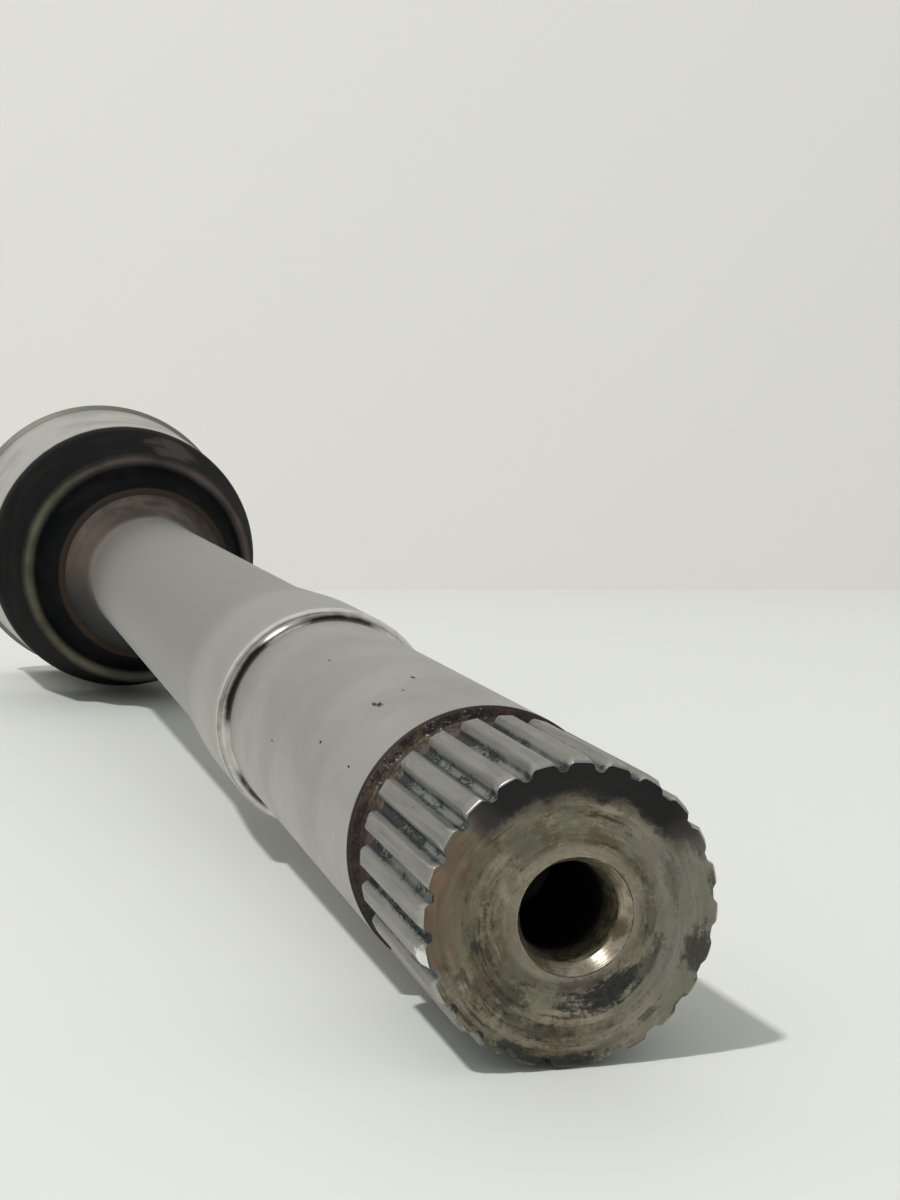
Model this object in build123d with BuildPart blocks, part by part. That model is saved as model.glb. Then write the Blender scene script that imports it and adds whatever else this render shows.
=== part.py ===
from build123d import *
import math
import os

os.makedirs("parts", exist_ok=True)

# Splined shaft, turned and forged in one with its flared head.
# The shaft stands on the flat back of its head: the origin is the centre of
# that face, +Z runs along the axis and out of the splined end. Millimetres.
# Lengths called *_from_end are measured down from the splined end face.

# ---------------------------------------------------------------- sizes
overall_length = 412.0

# splined end
tooth_count = 24
pitch_diameter = 25.4
pressure_angle = 30.0
tip_diameter = 26.4
root_diameter = 24.2
tooth_thickness = 1.99
first_tooth_angle = 0.0
tip_round = 0.14
root_fillet = 0.16
spline_length = 21.3
lead_chamfer_depth = 0.28
lead_chamfer_length = 0.85
tooth_back_chamfer = 0.2

# centre hole in the splined end
hole_diameter = 8.2
hole_depth = 18.0
hole_mouth_diameter = 10.3
hole_mouth_depth = 1.0
drill_point_angle = 118.0

# relief groove between the teeth and the journal
groove_diameter = 23.9
groove_width = 4.4

# journal, collar and plain shank
journal_diameter = 26.7
journal_edge_chamfer = 0.25
collar_diameter = 29.4
collar_edge_round = 0.4
shoulder_radius = 4.5
collar_front_from_end = 95.7
collar_crest_width = 21.0
collar_taper_length = 28.5
shank_diameter = 27.0

# head
neck_radius = 20.0
neck_ring_outer_diameter = 39.4
neck_ring_width = 1.25
neck_ring_from_end = 299.6
dish_outer_diameter = 49.6
face_ring_outer_diameter = 55.0
face_ring_from_end = 312.8
shoulder_outer_diameter = 66.6
shoulder_edge_from_end = 345.4
shoulder_edge_round = 2.0
rim_diameter = 76.2
rim_width = 5.0
rim_chamfer = 1.2
back_chamfer = 1.0

# ---------------------------------------------------------------- derived
tip_r = tip_diameter / 2
root_r = root_diameter / 2
pitch_r = pitch_diameter / 2
base_r = pitch_r * math.cos(math.radians(pressure_angle))
groove_r = groove_diameter / 2
journal_r = journal_diameter / 2
collar_r = collar_diameter / 2
shank_r = shank_diameter / 2
ring_outer_r = neck_ring_outer_diameter / 2
ring_inner_r = ring_outer_r - neck_ring_width
dish_r = dish_outer_diameter / 2
face_r = face_ring_outer_diameter / 2
shoulder_r = shoulder_outer_diameter / 2
rim_r = rim_diameter / 2
hole_r = hole_diameter / 2
mouth_r = hole_mouth_diameter / 2

tooth_back_z = overall_length - spline_length
journal_front_z = tooth_back_z - groove_width
collar_front_z = overall_length - collar_front_from_end
collar_rise = collar_r - journal_r
fillet_run = math.sqrt(2 * shoulder_radius * collar_rise - collar_rise ** 2)
journal_end_z = collar_front_z + fillet_run
collar_back_z = collar_front_z - collar_crest_width
taper_end_z = collar_back_z - collar_taper_length
ring_z = overall_length - neck_ring_from_end
neck_rise = ring_inner_r - shank_r
neck_run = math.sqrt(2 * neck_radius * neck_rise - neck_rise ** 2)
neck_start_z = ring_z + neck_run
face_z = overall_length - face_ring_from_end
shoulder_z = overall_length - shoulder_edge_from_end


def involute_angle(radius):
    """Angle that the flank has unwound through at this radius."""
    spread = math.acos(min(1.0, base_r / radius))
    return math.tan(spread) - spread


def half_tooth_angle(radius):
    """Half of the angle that one tooth covers at this radius."""
    half_at_pitch = tooth_thickness / (2 * pitch_r)
    return half_at_pitch + involute_angle(pitch_r) - involute_angle(radius)


def at(radius, angle):
    return (radius * math.cos(angle), radius * math.sin(angle))


def arc_middle(start, end, radius, centre_side):
    """Middle of the arc from start to end, bulging away from its centre."""
    mx = (start[0] + end[0]) / 2
    mz = (start[1] + end[1]) / 2
    dx = end[0] - start[0]
    dz = end[1] - start[1]
    chord = math.hypot(dx, dz)
    sagitta = radius - math.sqrt(max(0.0, radius ** 2 - chord ** 2 / 4))
    return (
        mx - centre_side * sagitta * dz / chord,
        mz + centre_side * sagitta * dx / chord,
    )


flank_radii = [root_r + (tip_r - root_r) * i / 3 for i in range(4)]
tooth_pitch = 2 * math.pi / tooth_count

# ---------------------------------------------------------------- the shaft
with BuildPart() as splined_shaft:
    # turned outline, from the back of the head up to the relief groove
    with BuildSketch(Plane.XZ) as outline:
        with BuildLine():
            Polyline(
                (0, 0),
                (rim_r - back_chamfer, 0),
                (rim_r, back_chamfer),
                (rim_r, rim_width),
                (rim_r - rim_chamfer, rim_width + rim_chamfer),
                (shoulder_r, shoulder_z),
                (face_r, face_z),
                (dish_r, face_z),
                (ring_outer_r, ring_z),
                (ring_inner_r, ring_z),
            )
            ThreePointArc(
                (ring_inner_r, ring_z),
                arc_middle((ring_inner_r, ring_z), (shank_r, neck_start_z), neck_radius, 1),
                (shank_r, neck_start_z),
            )
            Polyline(
                (shank_r, neck_start_z),
                (shank_r, taper_end_z),
                (collar_r, collar_back_z),
                (collar_r, collar_front_z),
            )
            ThreePointArc(
                (collar_r, collar_front_z),
                arc_middle((collar_r, collar_front_z), (journal_r, journal_end_z), shoulder_radius, 1),
                (journal_r, journal_end_z),
            )
            Polyline(
                (journal_r, journal_end_z),
                (journal_r, journal_front_z - journal_edge_chamfer),
                (journal_r - journal_edge_chamfer, journal_front_z),
                (groove_r, journal_front_z),
                (groove_r, tooth_back_z),
                (0, tooth_back_z),
                (0, 0),
            )
        make_face()
        shoulder_corner = outline.vertices().sort_by_distance((shoulder_r, 0, shoulder_z))[0]
        collar_corner = outline.vertices().sort_by_distance((collar_r, 0, collar_front_z))[0]
        fillet(shoulder_corner, radius=shoulder_edge_round)
        fillet(collar_corner, radius=collar_edge_round)
    revolve(axis=Axis.Z)

    # involute teeth, one outline drawn tooth by tooth and drawn out along the axis
    with BuildSketch(Plane.XY.offset(tooth_back_z)) as teeth:
        with BuildLine():
            for i in range(tooth_count):
                centre = math.radians(first_tooth_angle) + i * tooth_pitch
                rising = [at(r, centre - half_tooth_angle(r)) for r in flank_radii]
                falling = [at(r, centre + half_tooth_angle(r)) for r in reversed(flank_radii)]
                following = at(root_r, centre + tooth_pitch - half_tooth_angle(root_r))
                Spline(*rising)
                ThreePointArc(rising[-1], at(tip_r, centre), falling[0])
                Spline(*falling)
                ThreePointArc(falling[-1], at(root_r, centre + tooth_pitch / 2), following)
        make_face()
        corners = teeth.vertices()
        tips = corners.filter_by(lambda v: math.hypot(v.X, v.Y) > (tip_r + root_r) / 2)
        roots = corners.filter_by(lambda v: math.hypot(v.X, v.Y) < (tip_r + root_r) / 2)
        fillet(tips, radius=tip_round)
        fillet(roots, radius=root_fillet)
    extrude(amount=spline_length)

    # lead chamfer on the front of the teeth and a small one on their backs
    with BuildSketch(Plane.XZ):
        with BuildLine():
            Polyline(
                (tip_r - lead_chamfer_depth, overall_length),
                (tip_r + 1, overall_length + lead_chamfer_length / lead_chamfer_depth),
                (tip_r + 1, overall_length - lead_chamfer_length),
                (tip_r, overall_length - lead_chamfer_length),
                (tip_r - lead_chamfer_depth, overall_length),
            )
        make_face()
        with BuildLine():
            Polyline(
                (tip_r - tooth_back_chamfer, tooth_back_z),
                (tip_r, tooth_back_z + tooth_back_chamfer),
                (tip_r + 1, tooth_back_z + tooth_back_chamfer),
                (tip_r + 1, tooth_back_z),
                (tip_r - tooth_back_chamfer, tooth_back_z),
            )
        make_face()
    revolve(axis=Axis.Z, mode=Mode.SUBTRACT)

    # centre hole: countersunk mouth, drilled bore, conical bottom
    drill_point = hole_r / math.tan(math.radians(drill_point_angle / 2))
    with BuildSketch(Plane.XZ):
        with BuildLine():
            Polyline(
                (0, overall_length),
                (mouth_r, overall_length),
                (hole_r, overall_length - hole_mouth_depth),
                (hole_r, overall_length - hole_depth),
                (0, overall_length - hole_depth - drill_point),
                (0, overall_length),
            )
        make_face()
    revolve(axis=Axis.Z, mode=Mode.SUBTRACT)

splined_shaft.part.label = "splined_shaft"
export_step(splined_shaft.part, "parts/splined_shaft.step")
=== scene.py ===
import math
import random

import bmesh
import bpy
from mathutils import Matrix, Vector


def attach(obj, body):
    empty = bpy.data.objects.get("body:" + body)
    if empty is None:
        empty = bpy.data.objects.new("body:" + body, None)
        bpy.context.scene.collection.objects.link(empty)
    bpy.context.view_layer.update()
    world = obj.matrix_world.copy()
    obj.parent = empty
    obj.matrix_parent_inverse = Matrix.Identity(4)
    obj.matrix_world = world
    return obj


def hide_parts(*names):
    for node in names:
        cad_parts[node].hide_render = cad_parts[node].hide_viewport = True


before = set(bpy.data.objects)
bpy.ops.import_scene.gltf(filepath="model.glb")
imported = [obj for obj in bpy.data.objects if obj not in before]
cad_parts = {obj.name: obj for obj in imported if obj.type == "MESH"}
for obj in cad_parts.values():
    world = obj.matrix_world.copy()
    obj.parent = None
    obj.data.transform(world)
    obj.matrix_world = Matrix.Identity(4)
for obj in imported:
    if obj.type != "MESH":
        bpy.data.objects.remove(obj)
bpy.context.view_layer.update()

MM = 0.001

# ------------------------------------------------------------------ sizes, mm
LENGTH = 412.0
TEETH = 24
TIP_R = 13.2
ROOT_R = 12.1
PITCH_R = 12.7
TOOTH_THICKNESS = 1.99
TOOTH_BACK = LENGTH - 21.3
LEAD_DEPTH = 0.28
LEAD_LENGTH = 0.85
GROOVE_R = 11.95
JOURNAL_FRONT = TOOTH_BACK - 4.4
JOURNAL_R = 13.35
COLLAR_R = 14.7
COLLAR_FRONT = LENGTH - 95.7
COLLAR_BACK = COLLAR_FRONT - 21.0
TAPER_END = COLLAR_BACK - 28.5
SHANK_R = 13.5
SHOULDER_RADIUS = 4.5
NECK_RADIUS = 20.0
RING_OUTER_R = 19.7
RING_INNER_R = 18.45
RING_Z = LENGTH - 299.6
DISH_R = 24.8
FACE_RING_R = 27.5
FACE_RING_Z = LENGTH - 312.8
SHOULDER_R = 33.3
SHOULDER_Z = LENGTH - 345.4
RIM_R = 38.1
RIM_WIDTH = 5.0
RIM_CHAMFER = 1.2
HOLE_R = 4.1
HOLE_DEPTH = 18.0
MOUTH_R = 5.1
MOUTH_DEPTH = 1.0
THROAT_R = 4.35
THROAT_DEPTH = 4.0
COLLAR_ROUNDING = 1.15
NECK_FILM = 17.0

# wear, mm: the countersink was drilled a little to one side, the tooth ends are
# worn and knocked over WORN_LENGTH, and burrs half fill the valleys on one side
MOUTH_SHIFT_DOWN = 0.15
MOUTH_SHIFT_ASIDE = 0.25
WORN_LENGTH = 1.0
WORN_TIP = 0.1
WORN_CORNER = 0.45
DEEPEST_KNOCK = 0.22
BURR_HEIGHT = 0.42
BURR_SIDE = math.radians(-100)
SHARP_EDGE = math.radians(32)

# the rolled fillet between journal and collar, and the neck fillet, in plain arcs
FILLET_ARC = math.acos(1 - (COLLAR_R - JOURNAL_R) / SHOULDER_RADIUS)
FILLET_REACH = SHOULDER_RADIUS * math.tan(FILLET_ARC / 2)
FILLET_START = COLLAR_FRONT + SHOULDER_RADIUS * math.sin(FILLET_ARC)
NECK_ARC = math.acos(1 - (RING_INNER_R - SHANK_R) / NECK_RADIUS)
NECK_REACH = NECK_RADIUS * math.tan(NECK_ARC / 2)
NECK_START = RING_Z + NECK_RADIUS * math.sin(NECK_ARC)
DRILL_POINT = HOLE_R / math.tan(math.radians(59))

# --------------------------------------------------- how the shaft is laid out
# The shaft leans on the rim of its head and on the tips of its teeth, so its
# table is a plane beside it, a little out of parallel with the axis.
LEAN = math.atan((RIM_R - TIP_R) / (LENGTH - LEAD_LENGTH - RIM_WIDTH))
ROLL = math.radians(2.2516)
table_up = Vector(
    (math.cos(LEAN) * math.cos(ROLL), math.cos(LEAN) * math.sin(ROLL), -math.sin(LEAN))
)
table_level = -TIP_R * MM * math.cos(LEAN) - (LENGTH - LEAD_LENGTH) * MM * math.sin(LEAN)

# ---------------------------------------------------------------- the camera
camera_place = Vector((0.040381, 0.053622, 0.556445))
looking = Vector((-0.096024, -0.275216, -0.956575)).normalized()
camera_right = looking.cross(table_up).normalized()
camera_up = camera_right.cross(looking)
scene = bpy.context.scene
camera = bpy.data.objects.new("camera", bpy.data.cameras.new("camera"))
scene.collection.objects.link(camera)
camera.data.lens = 57.0
camera.data.sensor_width = 36.0
camera.data.clip_start = 0.01
camera.data.clip_end = 20.0
turn = Matrix((camera_right, camera_up, -looking)).transposed()
camera.matrix_world = Matrix.Translation(camera_place) @ turn.to_4x4()
scene.camera = camera
scene.view_settings.view_transform = "Standard"

# the room's own directions
level_ahead = (looking - looking.dot(table_up) * table_up).normalized()
room_right = level_ahead.cross(table_up).normalized()


# ------------------------------------------------------------ shader language
class Signal:
    """A number that runs through a finish and can be worked with in sums."""

    def __init__(self, tree, socket):
        self.tree = tree
        self.socket = socket

    def maths(self, operation, *others, clamp=False):
        node = self.tree.nodes.new("ShaderNodeMath")
        node.operation = operation
        node.use_clamp = clamp
        for place, part in enumerate((self, *others)):
            if isinstance(part, Signal):
                self.tree.links.new(part.socket, node.inputs[place])
            else:
                node.inputs[place].default_value = float(part)
        return Signal(self.tree, node.outputs[0])

    def swapped(self, operation, other):
        node = self.tree.nodes.new("ShaderNodeMath")
        node.operation = operation
        node.inputs[0].default_value = float(other)
        self.tree.links.new(self.socket, node.inputs[1])
        return Signal(self.tree, node.outputs[0])

    def __add__(self, other):
        return self.maths("ADD", other)

    __radd__ = __add__

    def __sub__(self, other):
        return self.maths("SUBTRACT", other)

    def __rsub__(self, other):
        return self.swapped("SUBTRACT", other)

    def __mul__(self, other):
        return self.maths("MULTIPLY", other)

    __rmul__ = __mul__

    def __truediv__(self, other):
        return self.maths("DIVIDE", other)

    def __rtruediv__(self, other):
        return self.swapped("DIVIDE", other)

    def __pow__(self, other):
        return self.maths("POWER", other)

    def most(self, other):
        return self.maths("MAXIMUM", other)

    def held(self):
        return self.maths("ADD", 0.0, clamp=True)

    def rising(self, low, high):
        """0 below low and 1 above high, with a soft step between."""
        node = self.tree.nodes.new("ShaderNodeMapRange")
        node.interpolation_type = "SMOOTHSTEP"
        self.tree.links.new(self.socket, node.inputs["Value"])
        node.inputs["From Min"].default_value = low
        node.inputs["From Max"].default_value = high
        return Signal(self.tree, node.outputs["Result"])

    def falling(self, low, high):
        return 1.0 - self.rising(low, high)

    def band(self, low, high, soft):
        """1 between low and high, with soft edges."""
        return self.rising(low - soft, low + soft) * self.falling(high - soft, high + soft)


class Finish:
    """A metal finish built from nodes, on the shaft's own coordinates in mm."""

    def __init__(self, name, **constants):
        self.material = bpy.data.materials.new(name)
        self.material.use_nodes = True
        self.tree = self.material.node_tree
        self.tree.nodes.clear()
        self.shader = self.tree.nodes.new("ShaderNodeBsdfPrincipled")
        for socket, value in constants.items():
            self.shader.inputs[socket.replace("_", " ")].default_value = value
        out = self.tree.nodes.new("ShaderNodeOutputMaterial")
        self.tree.links.new(self.shader.outputs[0], out.inputs[0])
        place = self.node("ShaderNodeTexCoord", {}, {}).outputs["Object"]
        scaled = self.node(
            "ShaderNodeVectorMath", {"operation": "SCALE"}, {0: place, "Scale": 1000.0}
        )
        self.place = scaled.outputs[0]
        parts = self.node("ShaderNodeSeparateXYZ", {}, {0: self.place})
        self.x, self.y, self.z = (Signal(self.tree, s) for s in parts.outputs)
        self.radius = (self.x * self.x + self.y * self.y).maths("SQRT")
        self.angle = self.y.maths("ARCTAN2", self.x)

    def node(self, kind, settings, sockets):
        node = self.tree.nodes.new(kind)
        for name, value in settings.items():
            setattr(node, name, value)
        for name, value in sockets.items():
            if isinstance(value, Signal):
                value = value.socket
            if isinstance(value, bpy.types.NodeSocket):
                self.tree.links.new(value, node.inputs[name])
            else:
                node.inputs[name].default_value = value
        return node

    def stretched(self, x, y, z):
        return self.node(
            "ShaderNodeVectorMath", {"operation": "MULTIPLY"}, {0: self.place, 1: (x, y, z)}
        ).outputs[0]

    def noise(self, scale, detail=3.0, roughness=0.55, place=None):
        node = self.node(
            "ShaderNodeTexNoise",
            {"noise_dimensions": "3D"},
            {
                "Vector": self.place if place is None else place,
                "Scale": scale,
                "Detail": detail,
                "Roughness": roughness,
            },
        )
        return Signal(self.tree, node.outputs[0])

    def lines(self, along, scale, detail=3.0, roughness=0.6):
        """Noise that varies along one number only: turned or ground lines."""
        node = self.node(
            "ShaderNodeTexNoise",
            {"noise_dimensions": "1D"},
            {"W": along, "Scale": scale, "Detail": detail, "Roughness": roughness},
        )
        return Signal(self.tree, node.outputs[0])

    def polar(self, radius, across, along, detail=3.0, roughness=0.6):
        """Noise drawn out round the shaft into arcs: cells across and along them."""
        bend = along / self.radius.most(0.5)
        place = self.node(
            "ShaderNodeCombineXYZ",
            {},
            {0: radius * across, 1: self.x * bend, 2: self.y * bend},
        )
        return self.noise(1.0, detail, roughness, place.outputs[0])

    def smear(self, degrees, radius, across, along, ragged, height=None, rise=1.0):
        """A ragged stain, half as wide and long as across and along say, in mm."""
        away = ((self.radius - radius) / across) ** 2.0
        away = away + (1.0 - self.around(degrees)) * (2.0 * (radius / along) ** 2)
        if height is not None:
            away = (1.0 - self.around(degrees)) * (2.0 * (radius / across) ** 2)
            away = away + ((self.z - height) / rise) ** 2.0
        return (away.maths("SQRT") + (ragged - 0.5) * 2.4).falling(0.6, 1.3)

    def around(self, degrees):
        """Cosine of the way round the shaft from a direction."""
        turn_by = math.radians(degrees)
        return (self.x * math.cos(turn_by) + self.y * math.sin(turn_by)) / self.radius.most(0.01)

    def blend(self, first, second, amount):
        node = self.node(
            "ShaderNodeMix", {"data_type": "RGBA", "blend_type": "MIX"}, {0: amount}
        )
        for place, colour in ((6, first), (7, second)):
            if isinstance(colour, bpy.types.NodeSocket):
                self.tree.links.new(colour, node.inputs[place])
            else:
                node.inputs[place].default_value = (*colour, 1.0)
        return node.outputs[2]

    def use(self, colour, metal, rough, height, depth):
        """Connects what varies over the surface; depth is how far 1 of height rises, in mm."""
        link = self.tree.links.new
        link(colour, self.shader.inputs["Base Color"])
        link(rough.socket, self.shader.inputs["Roughness"])
        if metal is not None:
            link(metal.socket, self.shader.inputs["Metallic"])
        bump = self.node(
            "ShaderNodeBump", {}, {"Strength": 1.0, "Distance": depth * MM, "Height": height}
        )
        link(bump.outputs[0], self.shader.inputs["Normal"])
        return self.material


def linear(red, green, blue):
    """A colour as a paint chart gives it, 0 to 255, made linear."""
    return tuple(
        c / 255 / 12.92 if c <= 10 else ((c / 255 + 0.055) / 1.055) ** 2.4
        for c in (red, green, blue)
    )


# ------------------------------------------------------------------- finishes
STEEL = linear(173, 171, 166)
# bright worn steel, also the colour of the painted glints in the groove
WORN_STEEL_AND_GLINT = linear(208, 206, 200)
DULL_STEEL = linear(152, 150, 144)
GREASE = linear(24, 24, 25)
# blue-black grime on the teeth, also the colour of the painted shade in the valley corners
BLUE_GRIME_AND_CORNER_SHADE = linear(40, 48, 54)
GREEN_GRIME = linear(120, 126, 117)
RUST = linear(100, 80, 62)
ORANGE_RUST = linear(142, 108, 84)
KHAKI = linear(140, 132, 115)
PALE_KHAKI = linear(174, 165, 149)
OLIVE = linear(98, 93, 77)
BROWN = linear(96, 82, 66)
# black for the lower side of the neck
LOWER_NECK_BLACK = linear(22, 23, 25)
EDGE_GRIME = linear(44, 35, 31)
# colour of the painted dark reflections on the shoulder
DARK_ROOM_REFLECTION = linear(48, 44, 35)
SHANK_STEEL = linear(146, 145, 140)
# painted shade colour of the shank near the head
SHADED_SHANK_STEEL = linear(132, 131, 127)
LAND_STEEL = linear(144, 143, 137)
DRAWN_STEEL = linear(124, 125, 120)
PINK_STEEL = linear(138, 130, 128)
PALE_GREEN_GRIME = linear(134, 142, 134)
# near-white steel for the painted highlight on one tooth end
BARE_STEEL_HIGHLIGHT = linear(236, 238, 240)
# dark colour for the lower ends of the teeth
LOWER_END_DARK = linear(38, 36, 33)
GROOVE_BROWN = linear(38, 30, 27)
RED_RUST = linear(84, 64, 56)
VIOLET_GRIME = linear(46, 38, 46)
GOLDEN_BROWN = linear(104, 90, 66)
GREEN_KHAKI = linear(112, 115, 100)
RUBBED_STEEL = linear(133, 131, 120)
DARK_KHAKI = linear(58, 52, 42)
MOUTH_RING = linear(150, 141, 126)
THIN_GREASE = linear(44, 36, 37)
THICK_GREASE = linear(14, 15, 16)
SMUDGE = linear(34, 35, 34)
OILED_STEEL = linear(112, 105, 85)
DARK_OIL = linear(72, 67, 54)
# black of the painted shadow deep in the bore
HOLE_SHADOW = linear(14, 15, 14)
MOUTH_STEEL = linear(164, 155, 138)
MOUTH_FILM = linear(126, 116, 96)
BROWN_OIL = linear(86, 70, 48)
NECK_RUST = linear(40, 32, 26)
PALE_NECK_RUST = linear(68, 58, 48)
RUBBED_NECK = linear(96, 82, 70)
NECK_STEEL = linear(140, 136, 128)
DEEP_SCALE = linear(6, 7, 9)
GREASY_SCALE = linear(18, 17, 17)
MAUVE_STEEL = linear(104, 96, 93)
OLIVE_STEEL = linear(122, 121, 103)
NECK_RING_RUST = linear(62, 53, 46)
# brownish colour of the painted soft highlight on the head
SOFT_HIGHLIGHT = linear(84, 76, 70)
OLIVE_EDGE = linear(58, 60, 50)
BELL_STEEL = linear(186, 183, 178)
CLOUDED_BELL = linear(164, 162, 156)
OLIVE_RIM = linear(104, 106, 90)
SCALE_EDGE = linear(28, 28, 29)
BACK_STEEL = linear(156, 153, 145)
BACK_FILM = linear(124, 118, 106)
TABLE_WHITE = linear(228, 230, 224)
WALL_WHITE = linear(233, 231, 228)
ROOM_GLOW = linear(236, 238, 236)
FAR_WHITE = linear(222, 222, 217)


# degrees round the shaft, height, reach
JOURNAL_PITS = (
    (34.0, 372.3, 0.46), (35.0, 371.0, 0.36), (11.0, 366.6, 0.34), (21.0, 371.3, 0.18),
    (63.0, 365.8, 0.26), (63.0, 379.1, 0.2), (29.0, 343.8, 0.2), (79.0, 345.5, 0.2),
)


def ground_journal():
    """Ground and run-in seal surface with a few small pits."""
    f = Finish("ground_journal", Metallic=1.0)
    lines = f.lines(f.z, 5.0, 6.0, 0.7)
    clouds = f.noise(0.06, 3.0)
    mottle = f.noise(0.5, 4.0)
    ragged = f.noise(2.6, 3.0)
    pits = None
    for way_round, height, reach in JOURNAL_PITS:
        pit = f.smear(way_round, JOURNAL_R, reach * 0.6, 9.0, ragged, height, reach * 2.2)
        pits = pit if pits is None else pits.most(pit)
    edge = f.z.rising(JOURNAL_FRONT - 0.45, JOURNAL_FRONT - 0.2)
    dust = f.noise(2.2, 4.0).rising(0.72, 0.8) * 0.2
    dull = clouds.rising(0.4, 0.65) * 0.5 + lines.rising(0.5, 0.75) * 0.15
    dull = dull + mottle.rising(0.45, 0.7) * 0.2
    colour = f.blend(STEEL, DULL_STEEL, dull.held())
    colour = f.blend(colour, EDGE_GRIME, edge * 0.97)
    colour = f.blend(colour, GREASE, (pits + dust).held())
    rough = 0.36 + clouds * 0.1 + lines * 0.06 + pits * 0.4 + edge * 0.25
    return f.use(colour, 1.0 - pits * 0.8 - edge * 0.4, rough, lines * 0.2 - pits * 3.0, 0.004)


def polished_shoulder():
    """Bright rolled fillet between the journal and the collar, streaked with painted dark
    reflections.
    """
    f = Finish("polished_shoulder", Metallic=1.0)
    lines = f.lines(f.z, 4.0, 4.0)
    stain = f.noise(0.5, 4.0)
    low = f.z.band(COLLAR_FRONT + 0.7, COLLAR_FRONT + 2.4, 0.4)
    thin = f.z.band(COLLAR_FRONT + 0.1, COLLAR_FRONT + 0.35, 0.12)
    side = f.around(66.0).rising(0.86, 0.98)
    top = f.around(-4.0).rising(0.90, 0.99)
    foot = f.around(133.0).rising(0.955, 0.995)
    ring = f.around(50.0).rising(0.2, 0.8)
    # painted shade: the collar rounding is darkened on one side to dim its highlight
    rounding = f.z.band(COLLAR_FRONT - 0.9, COLLAR_FRONT, 0.25) * f.around(120.0).rising(0.5, 0.9)
    # painted reflections: dark streaks of a dark room round the fillet, broken up by the stain noise
    dark = low * (side + top + foot + ring * 0.35) + thin * ring * 0.45 + rounding * 0.5
    dark = (dark * (stain * 1.2 + 0.4)).held()
    colour = f.blend(WORN_STEEL_AND_GLINT, DULL_STEEL, stain.rising(0.45, 0.7) * 0.4)
    colour = f.blend(colour, DARK_ROOM_REFLECTION, dark)
    return f.use(colour, None, 0.13 + lines * 0.05 + stain * 0.04, lines, 0.001)


def collar_and_shank():
    """Satin ground steel of the collar, its tapered back and the shank."""
    f = Finish("collar_and_shank", Metallic=1.0)
    lines = f.lines(f.z, 3.0, 6.0, 0.7)
    clouds = f.noise(0.035, 3.0)
    collar = f.z.rising(COLLAR_BACK - 14.0, COLLAR_BACK + 6.0)
    front = f.z.rising(COLLAR_FRONT - 4.0, COLLAR_FRONT)
    # painted shade: the shank darkens towards the big head
    head_shade = f.z.falling(RING_Z + 12.0, RING_Z + 90.0)
    rust = f.z.falling(RING_Z + 15.0, RING_Z + 21.0) * f.noise(0.35, 4.0).rising(0.35, 0.62)
    colour = f.blend(SHANK_STEEL, STEEL, collar)
    colour = f.blend(colour, DULL_STEEL, clouds.rising(0.35, 0.65) * 0.3)
    colour = f.blend(colour, SHADED_SHANK_STEEL, head_shade * 0.8)
    colour = f.blend(colour, RUST, rust * 0.5)
    rough = 0.38 + clouds * 0.08 + lines * 0.04 - front * 0.16
    return f.use(colour, 1.0 - rust * 0.6, rough, lines, 0.002)


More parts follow.
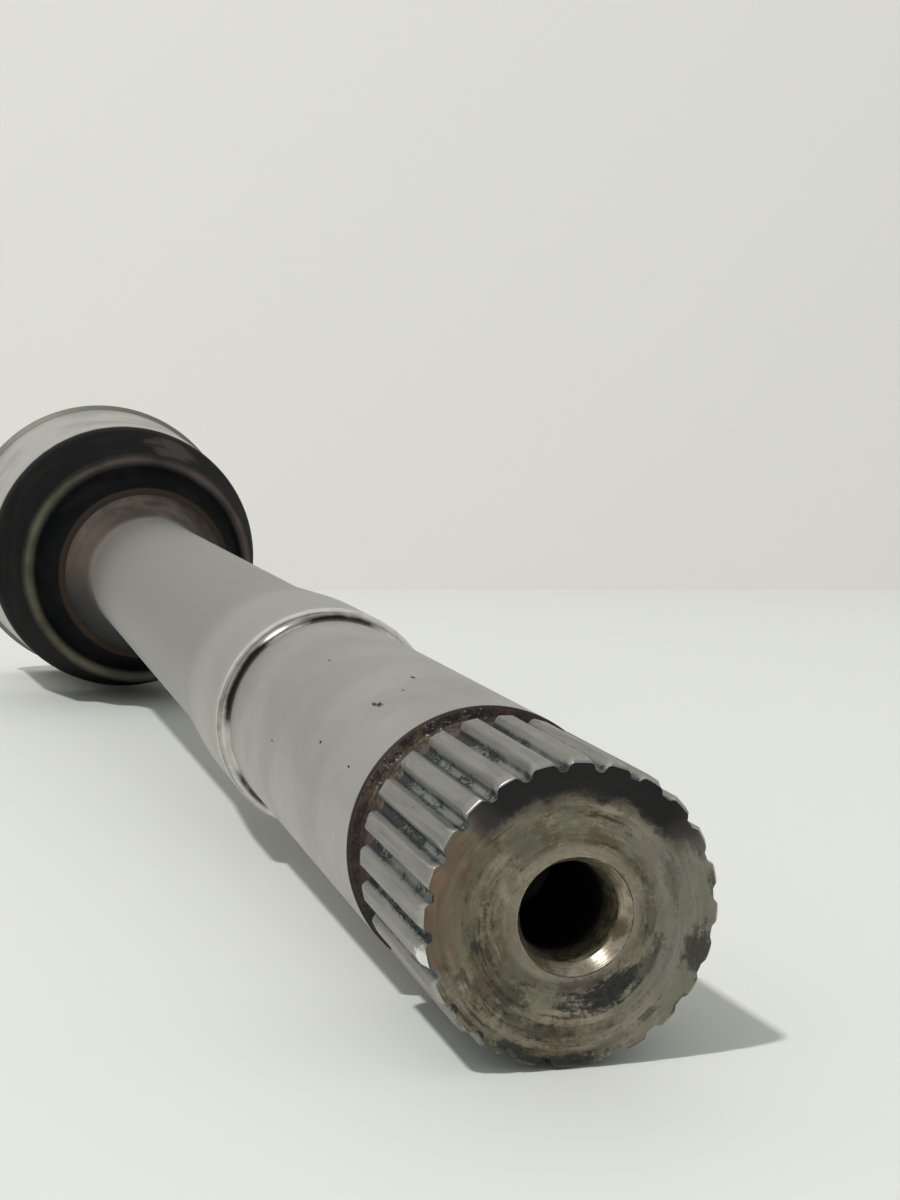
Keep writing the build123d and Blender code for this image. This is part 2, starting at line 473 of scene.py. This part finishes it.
def splined_teeth():
    """Satin lands, brighter worn edges, valleys with grey film and black specks, painted shade in
    the valley corners and a painted highlight on one tooth end.
    """
    f = Finish("splined_teeth")
    drawn = f.noise(1.0, 5.0, 0.6, f.stretched(1.6, 1.6, 0.10))
    clouds = f.noise(0.22, 3.0)
    specks = f.noise(2.6, 6.0, 0.75, f.stretched(1.0, 1.0, 0.6))
    clumps = f.noise(0.33, 3.0, 0.6, f.stretched(1.0, 1.0, 0.6))
    streaks = f.noise(1.3, 3.0, 0.5, f.stretched(1.5, 1.5, 0.25))
    low = f.radius.falling(ROOT_R + 0.30, TIP_R - 0.35)
    corner = f.radius.band(ROOT_R + 0.03, ROOT_R + 0.36, 0.07)
    floor = f.radius.falling(ROOT_R + 0.0, ROOT_R + 0.12)
    back = f.z.falling(TOOTH_BACK + 0.2, TOOTH_BACK + 7.0)
    front = f.z.rising(LENGTH - 1.4, LENGTH - 0.1)
    tips = f.z.rising(LENGTH - 3.5, LENGTH - 0.5) * low
    black = low * (specks + clumps * 0.9 + back * 0.26 + tips * 0.06).rising(0.97, 1.06)
    # painted shade: dark lines along the valley corners, where the next tooth shades the root
    corner_shade = corner * (0.45 + streaks * 0.9) * clumps.rising(0.25, 0.45)
    film = low * (0.55 + clouds * 0.3)
    scuffs = (1.0 - low) * (specks + clumps * 0.5 + back * 0.15).rising(0.93, 1.0)
    colour = f.blend(LAND_STEEL, DRAWN_STEEL, drawn.rising(0.4, 0.65))
    colour = f.blend(colour, PINK_STEEL, clouds.rising(0.5, 0.7) * 0.35)
    colour = f.blend(colour, GREEN_GRIME, film)
    colour = f.blend(colour, PALE_GREEN_GRIME, floor * streaks.rising(0.5, 0.62) * 0.6)
    colour = f.blend(colour, BLUE_GRIME_AND_CORNER_SHADE, (corner_shade * 0.7 + scuffs * 0.45 + tips * 0.18).held())
    colour = f.blend(colour, GREASE, (black * 0.95).held())
    # a bare steel chip on one tooth end, painted near white as a highlight
    chip_highlight = f.smear(106.0, TIP_R - 0.3, 0.9, 1.0, specks, LENGTH - 0.8, 1.6)
    colour = f.blend(colour, BARE_STEEL_HIGHLIGHT, chip_highlight * (1.0 - low))
    burr = front * f.radius.rising(ROOT_R + 0.1, TIP_R - 0.6) * (1.0 - black)
    colour = f.blend(colour, WORN_STEEL_AND_GLINT, burr * 0.35)
    # darker at the lower ends of the teeth, towards the table
    underside = front * f.around(175.0).rising(0.55, 0.9) * specks.rising(0.3, 0.5)
    colour = f.blend(colour, LOWER_END_DARK, underside * 0.8)
    rough = 0.40 + film * 0.15 + black * 0.2 + clouds * 0.06 - burr * 0.08 - chip_highlight * 0.15
    rough = rough + underside * 0.2
    metal = 1.0 - film * 0.5 - black * 0.5 - underside * 0.5
    height = drawn * 0.2 + black * 0.9 + specks * low * 0.7 - corner_shade * 0.4
    return f.use(colour, metal.held(), rough, height, 0.06)


def relief_groove():
    """Dark, rusty groove with old grease, golden brown on one side and painted glints on the lamp
    side.
    """
    f = Finish("relief_groove")
    ragged = f.noise(0.9, 5.0, 0.7)
    fine = f.noise(3.4, 5.0, 0.7)
    # golden brown on the upper side of the groove
    golden = f.around(44.0).rising(0.80, 0.97) * ragged.rising(0.42, 0.58)
    violet = f.around(20.0).rising(-0.2, 0.8)
    colour = f.blend(GROOVE_BROWN, RED_RUST, (ragged * 0.6 + fine * 0.4).rising(0.42, 0.62))
    colour = f.blend(colour, VIOLET_GRIME, violet * fine.rising(0.45, 0.6) * 0.6)
    colour = f.blend(colour, GOLDEN_BROWN, golden * 0.8)
    # painted glints: bright steel flecks on the lamp side of the groove
    painted_glints = fine.rising(0.59, 0.64) * f.around(34.0).rising(0.78, 0.96)
    colour = f.blend(colour, WORN_STEEL_AND_GLINT, painted_glints * 0.8)
    return f.use(colour, (0.1 + golden * 0.25 + painted_glints * 0.6).held(), 0.55 - painted_glints * 0.3, fine, 0.1)


# degrees round the face, distance from its centre, size across and along, weight
FACE_SMUDGES = (
    (-153.0, 7.6, 0.85, 3.2, 0.95), (-125.0, 8.0, 0.6, 2.2, 0.6), (-105.0, 11.8, 1.0, 1.5, 0.75),
    (-112.0, 12.9, 0.4, 1.0, 0.8), (178.0, 12.5, 0.35, 4.2, 0.9), (158.0, 12.0, 0.5, 1.4, 0.8),
    (142.0, 8.4, 0.8, 1.3, 0.55), (118.0, 10.6, 0.4, 0.5, 0.6), (106.0, 8.6, 0.3, 0.4, 0.8),
    (165.0, 10.2, 0.4, 2.2, 0.55), (-78.0, 12.7, 0.35, 1.0, 0.6), (-60.0, 12.3, 0.6, 1.4, 0.5),
    (-140.0, 11.2, 0.3, 1.0, 0.6), (-170.0, 6.0, 0.4, 2.0, 0.5), (-90.0, 6.9, 0.35, 2.6, 0.5),
    (-128.0, 12.8, 0.3, 0.8, 0.7), (-70.0, 9.0, 0.6, 1.4, 0.3), (152.0, 10.0, 0.5, 1.2, 0.5),
)


def turned_face():
    """Turned end face: broken rings, a khaki film, grease, rust and smudges."""
    f = Finish("turned_face", Specular_IOR_Level=0.3)
    wander = f.noise(0.06, 2.0, 0.4)
    drift = f.radius + (wander - 0.5) * 2.4 + (f.noise(0.5, 2.0) - 0.5) * 0.35
    arcs = f.polar(drift, 1.7, 1.5, 5.0, 0.66)
    wide_arcs = f.polar(drift, 0.62, 1.1, 3.0, 0.5)
    scratches = f.polar(drift, 5.5, 1.6, 3.0, 0.6)
    ragged = f.noise(0.32, 5.0, 0.65)
    fine = f.noise(1.7, 5.0, 0.72)
    patches = f.noise(0.26, 4.0, 0.6)
    other = f.noise(0.33, 4.0, 0.6, f.stretched(-1.0, 1.0, 1.0))
    worn = f.around(-92.0).rising(0.15, 0.85) * f.radius.rising(6.0, 8.5) * 0.8
    tone = arcs * 0.65 + wide_arcs * 0.75 + fine * 0.6 + scratches * 0.3 + (ragged - 0.5) * 0.5
    light = tone.rising(0.95, 1.33)
    colour = f.blend(OLIVE, KHAKI, light)
    colour = f.blend(colour, BROWN, patches.rising(0.47, 0.6) * (1.0 - light * 0.4) * 0.75)
    colour = f.blend(colour, GREEN_KHAKI, other.rising(0.48, 0.6) * 0.5)
    colour = f.blend(colour, PALE_KHAKI, (tone + patches * 0.5).rising(1.42, 1.78) * 0.8)
    colour = f.blend(colour, RUBBED_STEEL, (worn * (0.6 + fine * 0.5)).held())
    dark_arcs = (arcs + fine * 0.4 + other * 0.4).falling(0.72, 0.84) * (1.0 - worn * 0.8)
    colour = f.blend(colour, DARK_KHAKI, dark_arcs * 0.75)
    # a pale turned ring round the mouth of the centre hole
    ring = (f.radius + (fine - 0.5) * 0.5).band(5.0, 6.0, 0.3) * patches.rising(0.34, 0.55)
    colour = f.blend(colour, MOUTH_RING, ring * 0.6)
    # rust on one side of the rim
    rust = f.around(82.0).rising(0.78, 0.95) * (f.radius + (ragged - 0.5) * 6.0).rising(8.8, 11.2)
    colour = f.blend(colour, RUST, rust * (0.35 + fine * 0.7))
    orange = f.smear(75.0, 12.2, 0.7, 1.1, fine)
    colour = f.blend(colour, ORANGE_RUST, orange * fine.rising(0.3, 0.6) * 0.6)
    # grease along the upper rim, thin towards both ends
    rim = f.radius + (ragged - 0.5) * 2.4 + (fine - 0.5) * 1.6 + (arcs - 0.5) * 1.5
    upper = f.around(-4.0) + (ragged - 0.5) * 0.2
    grease = rim.rising(9.3, 10.4) * upper.rising(0.50, 0.66)
    colour = f.blend(colour, THIN_GREASE, grease * 0.92)
    thick = (rim - f.around(-12.0) * 0.8).rising(8.9, 10.0) * upper.rising(0.62, 0.78)
    thick = thick * fine.rising(0.18, 0.3)
    colour = f.blend(colour, THICK_GREASE, thick * 0.97)
    dirt = None
    torn = fine + (arcs - 0.5) * 0.9
    for way_round, radius, across, along, weight in FACE_SMUDGES:
        blot = f.smear(way_round, radius, across * 1.35, along * 1.3, torn) * weight
        dirt = blot if dirt is None else dirt.most(blot)
    colour = f.blend(colour, SMUDGE, (dirt * (0.65 + fine * 0.7)).held())
    wet = (grease + dirt * 0.4).held()
    rough = 0.52 + fine * 0.16 - wet * 0.1 - worn * 0.1
    metal = (0.5 + worn * 0.2 - grease * 0.45 - rust * 0.4 - dirt * 0.3).held()
    height = arcs * 1.2 + wide_arcs * 1.2 + scratches * 0.4 + fine * 0.3 + grease * 0.2
    return f.use(colour, metal, rough, height, 0.07)


def centre_hole():
    """Countersink and bore, bright at the mouth, oily on the wall and black with painted shadow
    deeper in.
    """
    f = Finish("centre_hole")
    rings = f.lines(f.radius + f.z * 0.6, 3.0, 4.0)
    fine = f.noise(1.2, 5.0, 0.65)
    patches = f.noise(0.5, 3.0)
    mouth = f.z.rising(LENGTH - 1.2, LENGTH - 0.95)
    # painted shadow: the bore turns black deeper in
    painted_shadow = f.z.falling(LENGTH - 5.2, LENGTH - 2.2)
    colour = f.blend(OILED_STEEL, DARK_OIL, fine.rising(0.4, 0.6))
    colour = f.blend(colour, HOLE_SHADOW, painted_shadow)
    bright = f.blend(MOUTH_STEEL, MOUTH_FILM, (fine * 0.5 + patches * 0.5).rising(0.42, 0.6))
    colour = f.blend(colour, bright, mouth)
    brown = mouth * f.smear(-108.0, 4.7, 0.5, 1.0, fine)
    colour = f.blend(colour, BROWN_OIL, brown * 0.8)
    rough = 0.42 - mouth * 0.2 + fine * 0.1
    metal = (0.15 + mouth * 0.6 - painted_shadow * 0.15).held()
    return f.use(colour, metal, rough, rings + fine * 0.4, 0.02)


def rusty_neck():
    """Neck fillet: brown rust film that fades out on the shank."""
    f = Finish("rusty_neck", Specular_IOR_Level=0.3)
    ragged = f.noise(0.16, 3.0, 0.55)
    lines = f.lines(f.z, 1.2, 4.0)
    bare = (f.z.rising(RING_Z + 7.5, RING_Z + 14.5) + (ragged - 0.5) * 0.3).held()
    tone = (ragged * 0.6 + lines * 0.4).rising(0.4, 0.65)
    colour = f.blend(NECK_RUST, PALE_NECK_RUST, tone)
    colour = f.blend(colour, RUBBED_NECK, f.around(80.0).rising(0.6, 0.95) * 0.5)
    colour = f.blend(colour, NECK_STEEL, bare)
    # black on the lower side of the neck, towards the table
    black = f.around(168.0).rising(0.0, 0.6) * 0.9
    colour = f.blend(colour, LOWER_NECK_BLACK, black)
    return f.use(colour, (bare * 0.9 - black).held(), 0.6 - bare * 0.2, ragged, 0.03)


def blackened_head():
    """Black forging scale and grease, with two paler turned rings on it."""
    f = Finish("blackened_head", Specular_IOR_Level=0.03)
    ragged = f.noise(0.12, 3.0, 0.5)
    rings = f.polar(f.radius, 0.9, 0.9, 3.0, 0.5)
    face_ring = f.radius.band(DISH_R + 0.6, FACE_RING_R - 0.5, 1.1) * f.z.rising(
        FACE_RING_Z - 1.2, FACE_RING_Z - 0.1
    )
    neck_ring = f.radius.band(RING_INNER_R - 0.6, RING_OUTER_R + 0.2, 0.6) * f.z.rising(
        RING_Z - 1.5, RING_Z - 0.1
    )
    colour = f.blend(DEEP_SCALE, GREASY_SCALE, ragged.rising(0.46, 0.7))
    lit = f.blend(MAUVE_STEEL, OLIVE_STEEL, f.around(110.0).rising(-0.2, 0.9))
    mottled = (ragged * 0.6 + rings * 0.4).rising(0.3, 0.62)
    colour = f.blend(colour, lit, face_ring * (0.4 + mottled * 0.55))
    colour = f.blend(colour, NECK_RING_RUST, neck_ring * 0.9)
    # painted highlight: a soft brownish lit patch on the black scale of the head
    painted_highlight = f.smear(-18.0, FACE_RING_R + 2.6, 2.0, 6.0, ragged)
    colour = f.blend(colour, SOFT_HIGHLIGHT, painted_highlight * 0.45)
    edge = f.radius.rising(SHOULDER_R - 1.2, SHOULDER_R + 0.1)
    colour = f.blend(colour, OLIVE_EDGE, edge * 0.5)
    rough = 0.75 - face_ring * 0.15
    return f.use(colour, (face_ring * 0.25).held(), rough, ragged + rings * face_ring * 0.3, 0.05)


def satin_bell():
    """Light satin outside of the head with a thin olive rim."""
    f = Finish("satin_bell", Metallic=1.0)
    lines = f.lines(f.z, 1.6, 6.0, 0.7)
    clouds = f.noise(0.05, 3.0)
    front = (f.z + (f.noise(0.3, 3.0) - 0.5) * 3.0).rising(SHOULDER_Z - 2.0, SHOULDER_Z)
    olive = f.z.falling(RIM_WIDTH + 1.4, RIM_WIDTH + 3.2)
    colour = f.blend(BELL_STEEL, CLOUDED_BELL, clouds.rising(0.4, 0.62))
    colour = f.blend(colour, OLIVE_RIM, olive * 0.85)
    colour = f.blend(colour, SCALE_EDGE, front)
    rough = 0.42 + clouds * 0.1 + olive * 0.12
    return f.use(colour, (1.0 - olive * 0.5 - front * 0.9).held(), rough, lines, 0.004)


def plain_back():
    """Plain turned back of the head."""
    f = Finish("plain_back", Metallic=1.0)
    rings = f.lines(f.radius, 1.2, 5.0)
    clouds = f.noise(0.08, 3.0)
    colour = f.blend(BACK_STEEL, BACK_FILM, clouds.rising(0.4, 0.65))
    return f.use(colour, None, 0.42 + clouds * 0.12, rings, 0.02)


# ---------------------------------------------------------------- the shaft
def involute(radius):
    spread = math.acos(PITCH_R * math.cos(math.radians(30)) / radius)
    return math.tan(spread) - spread


def flank_angle(radius):
    """Half the angle of a tooth at this radius, in radians."""
    return TOOTH_THICKNESS / (2 * PITCH_R) + involute(PITCH_R) - involute(radius)


def tooth_section():
    """Half a tooth, from its middle to the middle of the valley: angle, radius."""
    edge = flank_angle(TIP_R)
    half_pitch = math.pi / TEETH
    section = [(0.0, TIP_R), (edge * 0.35, TIP_R), (edge * 0.68, TIP_R), (edge * 0.88, TIP_R)]
    section += [(edge * 0.985, TIP_R - 0.05)]
    section += [(flank_angle(r), r) for r in (TIP_R - 0.17, PITCH_R - 0.05, ROOT_R + 0.16)]
    floor = flank_angle(ROOT_R)
    section += [(floor + 0.2 * (half_pitch - floor), ROOT_R + 0.03)]
    section += [(floor + 0.55 * (half_pitch - floor), ROOT_R), (half_pitch, ROOT_R)]
    return section


# Each corner of the turned outline: radius, height, how far its rounding reaches
# along the outline, and the steps in that rounding.
TURNED_OUTLINE = (
    (0.0, 0.0, 0, 0),
    (RIM_R - 1.0, 0.0, 0.15, 2),
    (RIM_R, 1.0, 0.15, 2),
    (RIM_R, RIM_WIDTH, 0.15, 2),
    (RIM_R - RIM_CHAMFER, RIM_WIDTH + RIM_CHAMFER, 0.25, 3),
    (SHOULDER_R, SHOULDER_Z, 1.2, 5),
    (FACE_RING_R, FACE_RING_Z, 0.3, 3),
    (DISH_R, FACE_RING_Z, 0.2, 2),
    (RING_OUTER_R, RING_Z, 0.2, 2),
    (RING_INNER_R, RING_Z, 0, 0),
    (SHANK_R, NECK_START - NECK_REACH, NECK_REACH * 0.995, 12),
    (SHANK_R, TAPER_END, 3.0, 4),
    (COLLAR_R, COLLAR_BACK, 2.0, 4),
    (COLLAR_R, COLLAR_FRONT, COLLAR_ROUNDING, 8),
    (JOURNAL_R, FILLET_START - FILLET_REACH, FILLET_REACH * 0.37, 8),
    (JOURNAL_R, JOURNAL_FRONT - 0.25, 0.08, 2),
    (JOURNAL_R - 0.25, JOURNAL_FRONT, 0.08, 2),
    (GROOVE_R, JOURNAL_FRONT, 0.35, 4),
    (GROOVE_R, TOOTH_BACK, 0.05, 1),
    (TIP_R - 0.2, TOOTH_BACK, 0.05, 1),
    (TIP_R, TOOTH_BACK + 0.2, 0.08, 2),
    (TIP_R, LENGTH - LEAD_LENGTH, 0.25, 3),
    (TIP_R - LEAD_DEPTH, LENGTH, 0.2, 4),
    (ROOT_R - 0.25, LENGTH, 0, 0),
    (MOUTH_R, LENGTH, 0.08, 2),
    (THROAT_R, LENGTH - MOUTH_DEPTH, 0.08, 2),
    (HOLE_R, LENGTH - THROAT_DEPTH, 0.3, 2),
    (HOLE_R, LENGTH - HOLE_DEPTH, 0, 0),
    (0.0, LENGTH - HOLE_DEPTH - DRILL_POINT, 0, 0),
)


def turn_blank(bm, columns):
    """Draws the outline, rounds its corners and spins it into the plain blank."""
    corners = [bm.verts.new((radius, 0.0, height)) for radius, height, _, _ in TURNED_OUTLINE]
    for lower, upper in zip(corners, corners[1:]):
        bm.edges.new((lower, upper))
    for corner, (_, _, reach, steps) in zip(corners, TURNED_OUTLINE):
        if steps:
            bmesh.ops.bevel(
                bm, geom=[corner], offset=reach, offset_type="OFFSET", segments=steps + 1,
                profile=0.5, material=-1, affect="VERTICES", clamp_overlap=False,
            )
    # more rings along the teeth, over the end face and down the long runs
    for edge in list(bm.edges):
        a, b = (v.co for v in edge.verts)
        run = (a - b).length
        if min(a.z, b.z) > TOOTH_BACK and run > 8:
            cuts = 12
        elif run > 20:
            cuts = 3
        elif run > 5:
            cuts = 1
        else:
            continue
        bmesh.ops.subdivide_edges(bm, edges=[edge], cuts=cuts)
    bmesh.ops.spin(
        bm, geom=bm.verts[:] + bm.edges[:], cent=(0, 0, 0), axis=(0, 0, 1),
        angle=2 * math.pi, steps=columns, use_merge=True, use_duplicate=False,
    )
    bmesh.ops.remove_doubles(bm, verts=bm.verts[:], dist=0.002)


def worn_limit(limit, angle, way, knock):
    """How far out the metal reaches at the very end of a tooth or valley."""
    share = angle * TEETH / math.pi
    worn = TIP_R - WORN_TIP - DEEPEST_KNOCK * knock - WORN_CORNER * share * share
    burr = BURR_HEIGHT * math.sqrt(max(math.cos(way - BURR_SIDE), 0.0))
    return max(min(limit, worn), ROOT_R + burr)


def press_valleys(bm, section, per_tooth):
    """Moves each column of the blank to its place in the tooth section."""
    rough = random.Random(7)
    knocks = [rough.uniform(0.0, 1.0) for _ in range(TEETH)]
    columns = TEETH * per_tooth
    for v in bm.verts:
        reach = math.hypot(v.co.x, v.co.y)
        if reach < 0.5:
            continue
        column = round(math.atan2(v.co.y, v.co.x) / (2 * math.pi) * columns)
        tooth, place = divmod(column + per_tooth // 2, per_tooth)
        place -= per_tooth // 2
        angle, limit = section[abs(place)]
        way = tooth * 2 * math.pi / TEETH + math.copysign(angle, place)
        if v.co.z > TOOTH_BACK - 0.3 and reach > ROOT_R - 0.1:
            end = min(max((v.co.z - LENGTH + WORN_LENGTH) / WORN_LENGTH, 0.0), 1.0)
            end = end * end * (3 - 2 * end)
            at_end = worn_limit(limit, angle, way, knocks[tooth % TEETH])
            reach = min(reach, limit + (at_end - limit) * end)
        v.co.x = reach * math.cos(way)
        v.co.y = reach * math.sin(way)


def shift_countersink(bm):
    """Moves the edge of the countersink a little to one side."""
    for v in bm.verts:
        away = math.hypot(v.co.x, v.co.y)
        if v.co.z > LENGTH - 0.5 and MOUTH_R - 0.3 < away < MOUTH_R + 0.3:
            v.co.x -= MOUTH_SHIFT_DOWN
            v.co.y -= MOUTH_SHIFT_ASIDE


ZONES = (
    ground_journal, polished_shoulder, collar_and_shank, splined_teeth, relief_groove,
    turned_face, centre_hole, rusty_neck, blackened_head, satin_bell, plain_back,
)


def zone_at(radius, z):
    """The finish of the surface at this radius and height."""
    if z > LENGTH - HOLE_DEPTH - 5 and radius < MOUTH_R:
        return centre_hole
    if z > LENGTH - 0.02 and radius < ROOT_R + 0.7:
        return turned_face
    for above, zone in (
        (TOOTH_BACK - 0.01, splined_teeth),
        (JOURNAL_FRONT - 0.02, relief_groove),
        (FILLET_START, ground_journal),
        (COLLAR_FRONT - 1.2, polished_shoulder),
        (RING_Z + NECK_FILM, collar_and_shank),
        (RING_Z + 0.05, rusty_neck),
        (SHOULDER_Z, blackened_head),
        (0.02, satin_bell),
    ):
        if z > above:
            return zone
    return plain_back


def make_shaft():
    section = tooth_section()
    per_tooth = 2 * (len(section) - 1)
    bm = bmesh.new()
    turn_blank(bm, TEETH * per_tooth)
    press_valleys(bm, section, per_tooth)
    shift_countersink(bm)
    bmesh.ops.recalc_face_normals(bm, faces=bm.faces[:])
    for face in bm.faces:
        face.smooth = True
        middle = face.calc_center_median()
        zone = zone_at(math.hypot(middle.x, middle.y), middle.z)
        face.material_index = ZONES.index(zone)
    for edge in bm.edges:
        edge.smooth = edge.calc_face_angle(0.0) < SHARP_EDGE
    bmesh.ops.scale(bm, vec=(MM, MM, MM), verts=bm.verts[:])
    mesh = bpy.data.meshes.new("shaft")
    bm.to_mesh(mesh)
    bm.free()
    shaft = bpy.data.objects.new("shaft", mesh)
    scene.collection.objects.link(shaft)
    for zone in ZONES:
        mesh.materials.append(zone())
    even = shaft.modifiers.new("even_shading", "WEIGHTED_NORMAL")
    even.keep_sharp = True
    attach(shaft, "root")
    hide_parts("splined_shaft")


# ------------------------------------------------------- table, wall and light
def one_sided(name, colour, roughness):
    """A matt board that is only seen from its front."""
    material = bpy.data.materials.new(name)
    material.use_nodes = True
    tree = material.node_tree
    tree.nodes.clear()
    matt = tree.nodes.new("ShaderNodeBsdfPrincipled")
    matt.inputs["Base Color"].default_value = (*colour, 1.0)
    matt.inputs["Roughness"].default_value = roughness
    clear = tree.nodes.new("ShaderNodeBsdfTransparent")
    side = tree.nodes.new("ShaderNodeNewGeometry")
    mix = tree.nodes.new("ShaderNodeMixShader")
    out = tree.nodes.new("ShaderNodeOutputMaterial")
    tree.links.new(side.outputs["Backfacing"], mix.inputs[0])
    tree.links.new(matt.outputs[0], mix.inputs[1])
    tree.links.new(clear.outputs[0], mix.inputs[2])
    tree.links.new(mix.outputs[0], out.inputs[0])
    return material


def board(name, middle, across, along, half_across, half_along, material):
    """A flat board that faces the way across x along points."""
    bm = bmesh.new()
    bmesh.ops.create_grid(bm, x_segments=1, y_segments=1, size=1.0)
    facing = across.cross(along).normalized()
    for v in bm.verts:
        v.co = middle + across * (v.co.x * half_across) + along * (v.co.y * half_along)
    bmesh.ops.recalc_face_normals(bm, faces=bm.faces[:])
    for f in bm.faces:
        f.normal_update()
        if f.normal.dot(facing) < 0:
            f.normal_flip()
    mesh = bpy.data.meshes.new(name)
    bm.to_mesh(mesh)
    bm.free()
    flat = bpy.data.objects.new(name, mesh)
    mesh.materials.append(material)
    scene.collection.objects.link(flat)


WALL_AHEAD = 1.091
HALF_WIDTH = 1.6
HALF_TABLE = 1.2
HALF_WALL = 0.8
under_camera = camera_place - table_up * (camera_place.dot(table_up) - table_level)
wall_foot = under_camera + level_ahead * WALL_AHEAD
board(
    "table", wall_foot - level_ahead * HALF_TABLE, room_right, level_ahead, HALF_WIDTH, HALF_TABLE,
    one_sided("white_table", TABLE_WHITE, 0.6),
)
board(
    "wall", wall_foot + table_up * HALF_WALL, room_right, table_up, HALF_WIDTH, HALF_WALL,
    one_sided("white_wall", WALL_WHITE, 0.8),
)


def lamp(name, toward, distance, width, power):
    """A square lamp at a distance from the splined end, facing it."""
    data = bpy.data.lights.new(name, "AREA")
    data.shape = "SQUARE"
    data.size = width
    data.energy = power
    light = bpy.data.objects.new(name, data)
    aim = Vector((0, 0, LENGTH * MM * 0.8))
    spot = aim + toward.normalized() * distance
    light.location = spot
    light.rotation_mode = "QUATERNION"
    light.rotation_quaternion = (spot - aim).to_track_quat("Z", "Y")
    scene.collection.objects.link(light)


lamp(
    "ceiling_lamp", table_up - room_right * 0.42 - level_ahead * 0.43,
    distance=3.0, width=0.15, power=52.0,
)

world = bpy.data.worlds.new("room")
scene.world = world
world.use_nodes = True
tree = world.node_tree
tree.nodes.clear()
glow = tree.nodes.new("ShaderNodeBackground")
pale = tree.nodes.new("ShaderNodeBackground")
choose = tree.nodes.new("ShaderNodeMixShader")
rays = tree.nodes.new("ShaderNodeLightPath")
out = tree.nodes.new("ShaderNodeOutputWorld")
glow.inputs["Color"].default_value = (*ROOM_GLOW, 1.0)
glow.inputs["Strength"].default_value = 0.55
pale.inputs["Color"].default_value = (*FAR_WHITE, 1.0)
pale.inputs["Strength"].default_value = 1.0
tree.links.new(rays.outputs["Is Camera Ray"], choose.inputs[0])
tree.links.new(glow.outputs[0], choose.inputs[1])
tree.links.new(pale.outputs[0], choose.inputs[2])
tree.links.new(choose.outputs[0], out.inputs[0])

make_shaft()
